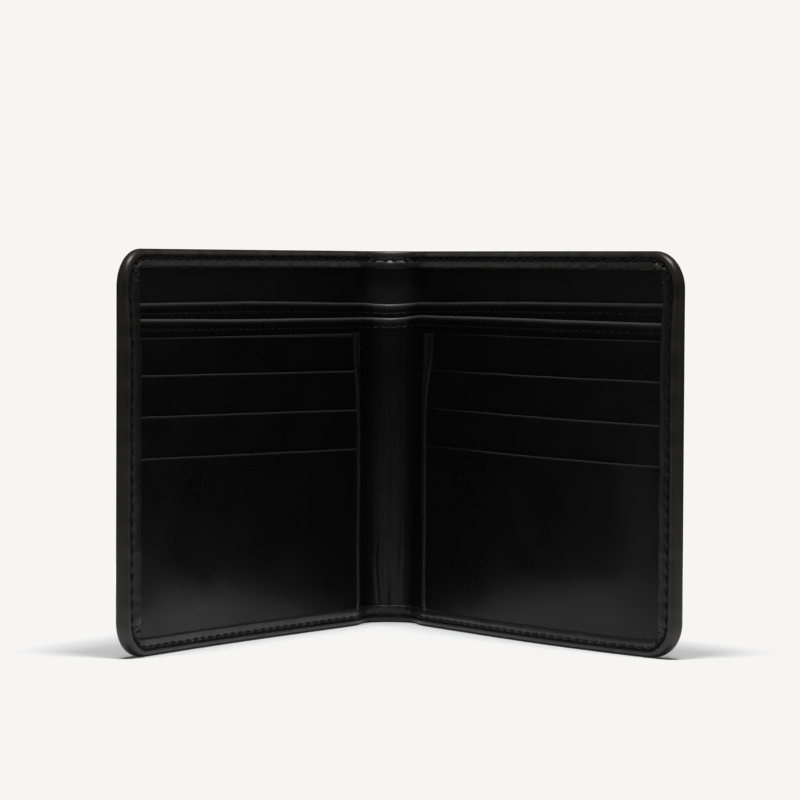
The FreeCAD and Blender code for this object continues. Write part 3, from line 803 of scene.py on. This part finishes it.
# %% Divider and interior panel
HEM_ROWS = np.concatenate([np.arange(0.55, 1.6, 0.35), np.arange(1.75, 3.3, 0.18), [4.0, 4.8]])
PANELS = {  # depth of the face, how much it buckles, spine node, distance between rows
    "bill_divider": (DIVIDER, 0.55, "spine_divider", 2.4),
    "interior_panel": (INTERIOR, 1.0, "spine_panel", 1.2),
}
for side in SIDES:
    for name, (base, folds, spine_node, rows) in PANELS.items():
        columns = half_columns(HEM_PITCH / 4)
        made = sheet(f"{name}_{side}_leather", pocket_leather, side, columns, EDGE_GAP,
                     panel_top(name, columns, side),
                     lambda across, up: panel_face(name, base, folds, across, up, side),
                     thick=0.62, soft=0.45, pitch=rows, radius=ROUND, open_start=True,
                     extra_rows=HEM_ROWS)
        bend_at_spine(made)
        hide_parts(f"{name}_{side}", spine_node)

# %% [markdown]
# ## Card pockets
# Each wing carries four stepped card slots on a backing. Their free edge towards the spine is
# bound by one narrow strip of leather, and behind the unit the edge of the slip pocket's inner
# wall shows. The free edge isn't a ruled line: it strays sideways with the pull of the leather.

# %% The pockets' free edge
FREE_EDGE = {"right": 11.2, "left": 9.6}
SLIP_EDGE = {"right": 8.2, "left": 6.8}
EDGE_PULL = {"right": 1.7, "left": 0.7}


def stray(side, share=1.0):
    """How far the pockets' free edge strays sideways, as a function of height."""
    def at(up):
        fine = 0.2 * ripple(0 * up, up, 34, seed=81 + SIDES[side]) + 0.08 * ripple(0 * up, up, 11, seed=88)
        return share * (EDGE_PULL[side] * smooth((up - 56) / 16) + fine)
    return at


def binding_face(across, up, side):
    """The binding covers the slots' ends, and sinks towards the top and the hem."""
    sunk = 0.9 * smooth((up - 46) / 30) + 0.7 * smooth((7 - up) / 4)
    return SLOT_FACE[3] + 0.12 + bow(across, side) - sunk


for side in SIDES:
    near_top = float(stray(side)(np.array(HEIGHT * 0.75)))
    print(side, "free edge strays by", round(near_top, 1), "mm near its top")

# %% [markdown]
# The slip pocket's wall reaches a little nearer to the fold than the slots, which is why its edge
# shows. The backing stays hidden behind them: it is the cloth that the slots are sewn to.

# %% Slip pocket, backing and binding
for side in SIDES:
    start = FOLD_X + FREE_EDGE[side]
    top = TOP["card_slot_1"]
    slip = sheet(f"slip_pocket_{side}_wall", pocket_leather, side,
                 spread(FOLD_X + SLIP_EDGE[side], OUT, 6, 0.3), EDGE_GAP, top + 0.1,
                 lambda across, up: SLIP + 0.12 + bow(across, side), thick=0.32, pitch=1.6,
                 radius=ROUND, shift=stray(side, 0.5), wear_and_highlight_strength=0.3)
    backing = sheet(f"pocket_backing_{side}_cloth", lining_cloth, side,
                    spread(start + 0.3, OUT, 6, 0.2), EDGE_GAP, top - 0.2,
                    lambda across, up: BACKING + 0.05 + bow(across, side), thick=0.2, soft=0.2,
                    pitch=4, radius=ROUND)
    binding = sheet(f"pocket_binding_{side}", pocket_leather, side,
                    spread(start - 0.35, start + 0.95, 0.3, 0.42), HEM_WIDE - 0.8, top + 0.3,
                    lambda across, up: binding_face(across, up, side), thick=1.1, soft=0.45,
                    pitch=0.9, shift=stray(side), wear_and_highlight_strength=0.1)
    for made, node, slot in ((slip, "slip_pocket", "pocket_leather"), (backing, "pocket_backing", "lining"),
                             (binding, "pocket_backing", "pocket_leather")):
        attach(made, f"{side}_wing")
        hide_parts(f"{node}_{side}")

# %% [markdown]
# The mouths of the slots are a step apart, just enough to show the top of each card. Hand-laid
# slots are never quite level, so they lean by up to about a millimetre.

# %% Mouths of the card slots
POCKET_START = 12.0
SLOT_LEAN = {  # how much higher each mouth is at its free edge and at the hem
    "left": [(-0.4, 0.25), (-0.3, 0.5), (-0.1, 0.95), (0.0, 1.2)],
    "right": [(0.4, 0.0), (0.1, -0.4), (0.5, -0.5), (1.0, -0.1)],
}


def slot_run(across):
    return np.clip((across - FOLD_X - POCKET_START) / (WING - POCKET_START - HEM_WIDE), 0, 1)


def slot_top(order, across, side):
    nudge = 0.05 * ripple(across, 0 * across, 24, seed=90 + order + SIDES[side])
    near, far = SLOT_LEAN[side][order - 1]
    return TOP[f"card_slot_{order}"] + near + (far - near) * slot_run(across) + nudge


mouths = [round(float(slot_top(order, np.array(WIDE / 2), "left")), 1) for order in ORDERS]
print("the left slots' mouths are", mouths, "mm high")

# %% [markdown]
# The slots step forward one thickness each. Where the hem holds them they are pressed nearly
# level again, so each face rises slowly from the hem and the free edge to its full step, and its
# mouth arches a little off the slot behind.

# %% Faces of the card slots
PRESSED = {"right": 26.0, "left": 5.0}  # how slowly a slot rises from the free edge


def tuck(across, up, side, bottom_too):
    """0 where a slot is pressed flat under the hem, rising to 1 where it is free."""
    clear = smooth((WIDE - HEM_WIDE - across + 0.5) / 16)
    clear = clear * (0.25 + 0.75 * smooth((across - FOLD_X - FREE_EDGE[side]) / PRESSED[side]))
    if bottom_too:
        clear = clear * (0.35 + 0.65 * smooth((up - HEM_WIDE + 0.5) / 16))
    return clear


def slot_face(order, across, up, side):
    top = slot_top(order, across, side)
    arch = np.sin(np.pi * slot_run(across)) ** 0.7
    lift = 0.2 * arch * np.exp(-np.maximum(0, top - up) / 2.5)
    inside = np.clip((up - HEM_WIDE) / (top - HEM_WIDE), 0, 1)
    bulge = 0.12 * arch * np.sin(np.pi * inside) if order == 4 else 0
    waves = 0.06 * ripple(across, up, 26, seed=100 + order * 3 + SIDES[side])
    waves = waves + 0.02 * ripple(across, up, 8, seed=130 + order)
    free = SLOT_FACE[order - 1] + lift + bulge + waves
    held = BACKING + 0.1 + 0.12 * order
    return held + (free - held) * tuck(across, up, side, order == 4) + bow(across, side)


steps = [float(slot_face(order, np.array(WIDE / 2), np.array(HEIGHT / 3), "left")) for order in ORDERS]
print("the slots' faces step in by", [round(step - steps[0], 2) for step in steps], "mm")

# %% [markdown]
# The mouths of the slots are tinted paler: partly as wear from the cards, and partly as painted
# highlight that stands in for the line of light along each mouth. On the right wing the tint fades
# towards the free edge, where the leather is held down by the binding.

# %% Card slots
# Painted highlight and wear: how strongly each slot's mouth is tinted paler, from the top slot down.
MOUTH_WEAR_AND_HIGHLIGHT = (0.1, 0.4, 0.4, 0.35)
for side in SIDES:
    for order in ORDERS:
        columns = spread(FOLD_X + FREE_EDGE[side], OUT, 1.1, 0.26)
        # On the right wing this painted highlight and wear fades towards the free edge.
        wear_and_highlight_share = 1 if side == "left" else 0.15 + 0.85 * smooth((columns - columns[0] - 5) / 35)
        low = EDGE_GAP if order == 4 else BOTTOM[f"card_slot_{order}"]
        made = sheet(f"card_slot_{order}_{side}_leather", pocket_leather, side, columns, low,
                     slot_top(order, columns, side),
                     lambda across, up: slot_face(order, across, up, side),
                     thick=SLOT_THICK, soft=0.24, pitch=1.5, radius=ROUND if order == 4 else 0.0,
                     shift=stray(side, 0.9), extra_rows=(0.4, 0.7, 1.2, 2.0),
                     wear_and_highlight_strength=MOUTH_WEAR_AND_HIGHLIGHT[order - 1] * wear_and_highlight_share)
        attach(made, f"{side}_wing")
        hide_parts(f"card_slot_{order}_{side}")

# %% [markdown]
# ## Sewing
# A lockstitch shows as separate dashes: the thread comes up through one hole, lies on the
# leather, and goes down the next. Each dash is a short tube that dips at both ends, a little
# slanted, and sinks into the groove that the seam pulls. A curve with a bevel would do for one
# stitch, but hundreds are quicker as copies of one tube of points.

# %% Stitches as dipping tubes
RINGS, AROUND = 9, 8
ALONG = np.linspace(-0.5, 0.5, RINGS)
ARCH = 1 - (2 * np.abs(ALONG)) ** 3
TAPER = (1 - 0.35 * (2 * np.abs(ALONG)) ** 4)[:, None]
ANGLE = np.arange(AROUND) * math.tau / AROUND
TUBE = np.arange(RINGS * AROUND).reshape(RINGS, AROUND)
TUBE_SIDES = quads(np.hstack([TUBE, TUBE[:, :1]]))


def dash(across, up, turn, depth, length, thick, dip):
    """Flat points of one stitch. A negative dip is for thread that lies on the outside."""
    width = thick / 2 * TAPER
    rise = dip * (ARCH - 1) + math.copysign(thick * 0.18, dip)
    inwards = (depth + rise)[:, None] + np.sin(ANGLE) * width * 0.8
    sideways = np.cos(ANGLE) * width
    run = (ALONG * length)[:, None] + 0 * sideways
    x = across + run * math.cos(turn) - sideways * math.sin(turn)
    z = up + run * math.sin(turn) + sideways * math.cos(turn)
    return np.column_stack([x.ravel(), inwards.ravel(), z.ravel()])


print("a stitch has", TUBE.size, "points")

# %% [markdown]
# Sewn rows look machine-made when all stitches are alike, so each one is turned by a few degrees
# and made a few percent longer or shorter. The draws are seeded, so a rerun gives the same row.

# %% A row of stitches
def sew(name, side, centres, turns, depths, length, thick, dip):
    chance = np.random.default_rng(7)
    points, faces = [], []
    for number, ((across, up), turn, depth) in enumerate(zip(centres, turns, depths)):
        slanted = turn + chance.normal(0, 0.05)
        size = length * chance.uniform(0.93, 1.05)
        points.append(dash(across, up, slanted, depth, size, thick, dip))
        first = number * TUBE.size
        faces += (TUBE_SIDES + first).tolist()
        faces += [(TUBE[0] + first).tolist(), (TUBE[-1][::-1] + first).tolist()]
    if side == "right":
        faces = [face[::-1] for face in faces]
    made = piece(name, folded(np.vstack(points), SIDES[side]), faces, thread)
    print(f"{name}: {len(centres)} stitches")
    return made


# %% [markdown]
# One seam holds the hem all round, so its needle thread shows inside and its bobbin thread
# outside, at the same stations. Both run over the spine, and are folded round it like the cover.
# The two panels have finer rows of their own.

# %% Perimeter seam and the panels' hems
def seam_stations(side):
    """Centres and directions of the perimeter stitches of a half."""
    count = int(RUN[-1] / PITCH)
    middle = (np.arange(count) + 0.5) * RUN[-1] / count
    x, z = at_inset(SEAM_IN, side)
    centres = np.column_stack([np.interp(middle, RUN, x), np.interp(middle, RUN, z)])
    turns = np.interp(middle, RUN, np.unwrap(np.arctan2(-RING[:, 2], RING[:, 3])))
    clear = centres[:, 0] > 0.9  # a stitch nearer to the middle would reach into the other half
    return centres[clear], turns[clear]


for side in SIDES:
    centres, turns = seam_stations(side)
    inner_depth = hem_face(centres[:, 0], centres[:, 1], side) - 0.16
    outer_depth = -COVER + 0.1 + bow(centres[:, 0], side)
    for name, depths, dip in (("inner", inner_depth, 0.32), ("outer", outer_depth, -0.32)):
        made = sew(f"{name}_seam_{side}_thread", side, centres, turns, depths,
                   length=2.35, thick=0.5, dip=dip)
        bend_at_spine(made)
        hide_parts(f"{name}_seam_{side}", "spine_seam")
    for name, (base, folds, _, _) in PANELS.items():
        across = np.arange(HEM_PITCH / 2, WIDE - HEM_WIDE - 1.5, HEM_PITCH)
        up = panel_top(name, across, side) - PANEL_SEAM
        depths = panel_face(name, base, folds, across, up, side) + 0.07
        made = sew(f"{name}_{side}_hem_thread", side, np.column_stack([across, up]), 0 * across, depths,
                   length=1.7, thick=0.36, dip=0.22)
        bend_at_spine(made)
        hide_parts(f"{'divider' if name == 'bill_divider' else 'interior'}_seam_{side}")

# %% [markdown]
# A bar tack is the same thread sewn to and fro over one short line. It holds the two ends of the
# slip pocket's mouth, so it is drawn as a small bundle of tubes lying side by side.

# %% Bar tacks
TACK_HEIGHTS, STRANDS, STRAND_PITCH = (5.4, 65.6), 5, 0.26
for side in SIDES:
    start = FOLD_X + (FREE_EDGE[side] + SLIP_EDGE[side]) / 2 - 0.4
    centres = [(start, foot + STRAND_PITCH * strand) for foot in TACK_HEIGHTS for strand in range(STRANDS)]
    depths = [SLIP + 0.2 + bow(start, side)] * len(centres)
    made = sew(f"bar_tacks_{side}_thread", side, centres, [0.12, -0.12] * STRANDS, depths,
               length=1.9, thick=0.32, dip=0.1)
    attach(made, f"{side}_wing")
    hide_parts(f"bar_tacks_{side}")

# %% [markdown]
# ## Studio
# The wallet stands on white paper. Black leather shows mostly what it mirrors, so the floor is
# part of the light: its white glows in the lower leather. A floor without end would light the
# whole spine, so the paper is a small round sheet, cut off in front. It glows a little more
# towards its rim, which keeps it white where less lamp light falls.

# %% Floor
PALE = "#f7f5f4"
SHEET, FRONT = 0.24, -0.17  # the sheet's radius, and where it is cut off
GLOW = {"From Min": 0.11, "From Max": 0.21, "To Min": 0.03, "To Max": 0.4}
PAPER_FIBRE_MM = 3


def floor_finish():
    finish, tree = new_finish("matt_white_paper")
    place = add(tree, "ShaderNodeTexCoord").outputs["Object"]
    fibre = add(tree, "ShaderNodeTexNoise", {"Vector": place}, Scale=1 / (PAPER_FIBRE_MM * MM), Detail=3.0)
    relief = add(tree, "ShaderNodeBump", {"Height": fibre.outputs["Fac"]},
                 Strength=0.05, Distance=0.02 * MM)
    away = add(tree, "ShaderNodeVectorMath", {0: place}, operation="LENGTH")
    glow = add(tree, "ShaderNodeMapRange", {"Value": away.outputs["Value"]}, GLOW,
               interpolation_type="SMOOTHSTEP")
    paper = add(tree, "ShaderNodeBsdfPrincipled",
                {"Normal": relief.outputs["Normal"], "Emission Strength": glow.outputs["Result"]},
                Base_Color=linear("#f2f4f6"), Roughness=0.9, Emission_Color=[1, 1, 1, 1])
    add(tree, "ShaderNodeOutputMaterial", {"Surface": paper.outputs["BSDF"]})
    return finish


turn = np.linspace(0, math.tau, 97)[:-1]
rim = np.column_stack([SHEET * np.cos(turn), np.maximum(SHEET * np.sin(turn), FRONT), 0 * turn])
floor = piece("floor", rim, [tuple(range(len(rim)))], floor_finish())
floor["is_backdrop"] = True
print(f"paper {2 * SHEET / MM:.0f} mm wide, {(SHEET - FRONT) / MM:.0f} mm deep")

# %% [markdown]
# The background has to look white and yet the room has to be dim, or black leather would turn
# grey. A light path node tells the two apart: a ray straight from the camera sees white, and
# every other ray sees a dim room.

# %% Background and room
SEEN, DIM = 1.1, 0.03
world = bpy.data.worlds.new("studio")
bpy.context.scene.world = world
world.use_nodes = True
sky = world.node_tree
sky.nodes.clear()
room = add(sky, "ShaderNodeBackground", Color=[1, 1, 1, 1], Strength=DIM)
seen = add(sky, "ShaderNodeBackground", Color=[1, 1, 1, 1], Strength=SEEN)
ray = add(sky, "ShaderNodeLightPath")
either = add(sky, "ShaderNodeMixShader",
             {0: ray.outputs["Is Camera Ray"], 1: room.outputs[0], 2: seen.outputs[0]})
add(sky, "ShaderNodeOutputWorld", {"Surface": either.outputs[0]})
print("room light", DIM, "of white")

# %% [markdown]
# A broad softbox overhead gives the soft overall light. Two smaller key lamps hang high, each in
# the upright plane of one wing, so that no shadow of a wing falls on the floor between the two.
# Four weak boxes at the sides and behind draw the edges of the leather.

# %% Lights
SOFTBOXES = {  # place and aim in metres, width in metres, watts
    "top": ((0.0, 0.1, 1.2), (0.0, 0.0, 0.0), 1.6, 1.5),
    "key_left": ((-0.17, -0.22, 1.2), (0.0, -0.04, 0.0), 0.24, 8.3),
    "key_right": ((0.17, -0.22, 1.2), (0.0, -0.04, 0.0), 0.24, 8.3),
    "rim_left": ((-0.83, 0.65, 0.6), (0.0, 0.0, 0.08), 0.5, 0.33),
    "rim_right": ((0.83, 0.65, 0.6), (0.0, 0.0, 0.08), 0.5, 0.33),
    "side_left": ((-1.0, -0.45, 0.35), (0.0, -0.05, 0.05), 0.7, 0.35),
    "side_right": ((1.0, -0.45, 0.35), (0.0, -0.05, 0.05), 0.7, 0.45),
}
for name, (place, aim, size, watts) in SOFTBOXES.items():
    lamp = bpy.data.lights.new(f"softbox_{name}", "AREA")
    lamp.size = size
    lamp.energy = watts
    box = bpy.data.objects.new(f"softbox_{name}", lamp)
    box.location = place
    box.visible_camera = False
    box.rotation_euler = (Vector(aim) - Vector(place)).to_track_quat("-Z", "Y").to_euler()
    bpy.context.scene.collection.objects.link(box)
print(len(SOFTBOXES), "softboxes,", round(sum(row[3] for row in SOFTBOXES.values()), 1), "watts")

# %% [markdown]
# Well-lit paper is a little brighter than the display can show. The view's curve ends each colour
# channel at the same warm white, so lit floor and background come out as one even tone, and only
# the shadows stay darker.

# %% Paper white
view = bpy.context.scene.view_settings
view.view_transform = "Standard"
view.use_curve_mapping = True
view.curve_mapping.extend = "HORIZONTAL"
for channel, level in zip(view.curve_mapping.curves, linear(PALE)[:3]):
    channel.points[-1].location = (1.0, level)
view.curve_mapping.update()
print("white ends at", [round(level, 3) for level in linear(PALE)[:3]])

# %% [markdown]
# A long lens about a metre away keeps the wallet's uprights parallel. It stands almost level with
# the top edge, so that edge looks nearly flat while the bottom edges run down towards the eye.

# %% Camera
LENS_MM, SENSOR_MM = 166.9, 36.0
AWAY, EYE_HEIGHT, SIDESTEP = 0.9486, 0.0913, 0.0027
YAW, TILT, ROLL_ANGLE = (math.radians(angle) for angle in (1.816, 2.074, 0.278))
camera = bpy.data.objects.new("camera", bpy.data.cameras.new("camera"))
camera.data.lens = LENS_MM
camera.data.sensor_width = SENSOR_MM
ahead = Vector((math.sin(YAW) * math.cos(TILT), math.cos(YAW) * math.cos(TILT), -math.sin(TILT)))
camera.location = Vector((SIDESTEP - AWAY * math.sin(YAW), FOLD_Y * MM - AWAY * math.cos(YAW), EYE_HEIGHT))
level = ahead.to_track_quat("-Z", "Y").to_matrix()
camera.rotation_euler = (level @ Matrix.Rotation(ROLL_ANGLE, 3, "Z")).to_euler()
bpy.context.scene.collection.objects.link(camera)
bpy.context.scene.camera = camera
print("camera at", [round(value, 3) for value in camera.location])

# %% Size of the model
low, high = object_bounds()
print("visual model", [round((high[axis] - low[axis]) / MM, 1) for axis in range(3)], "mm")
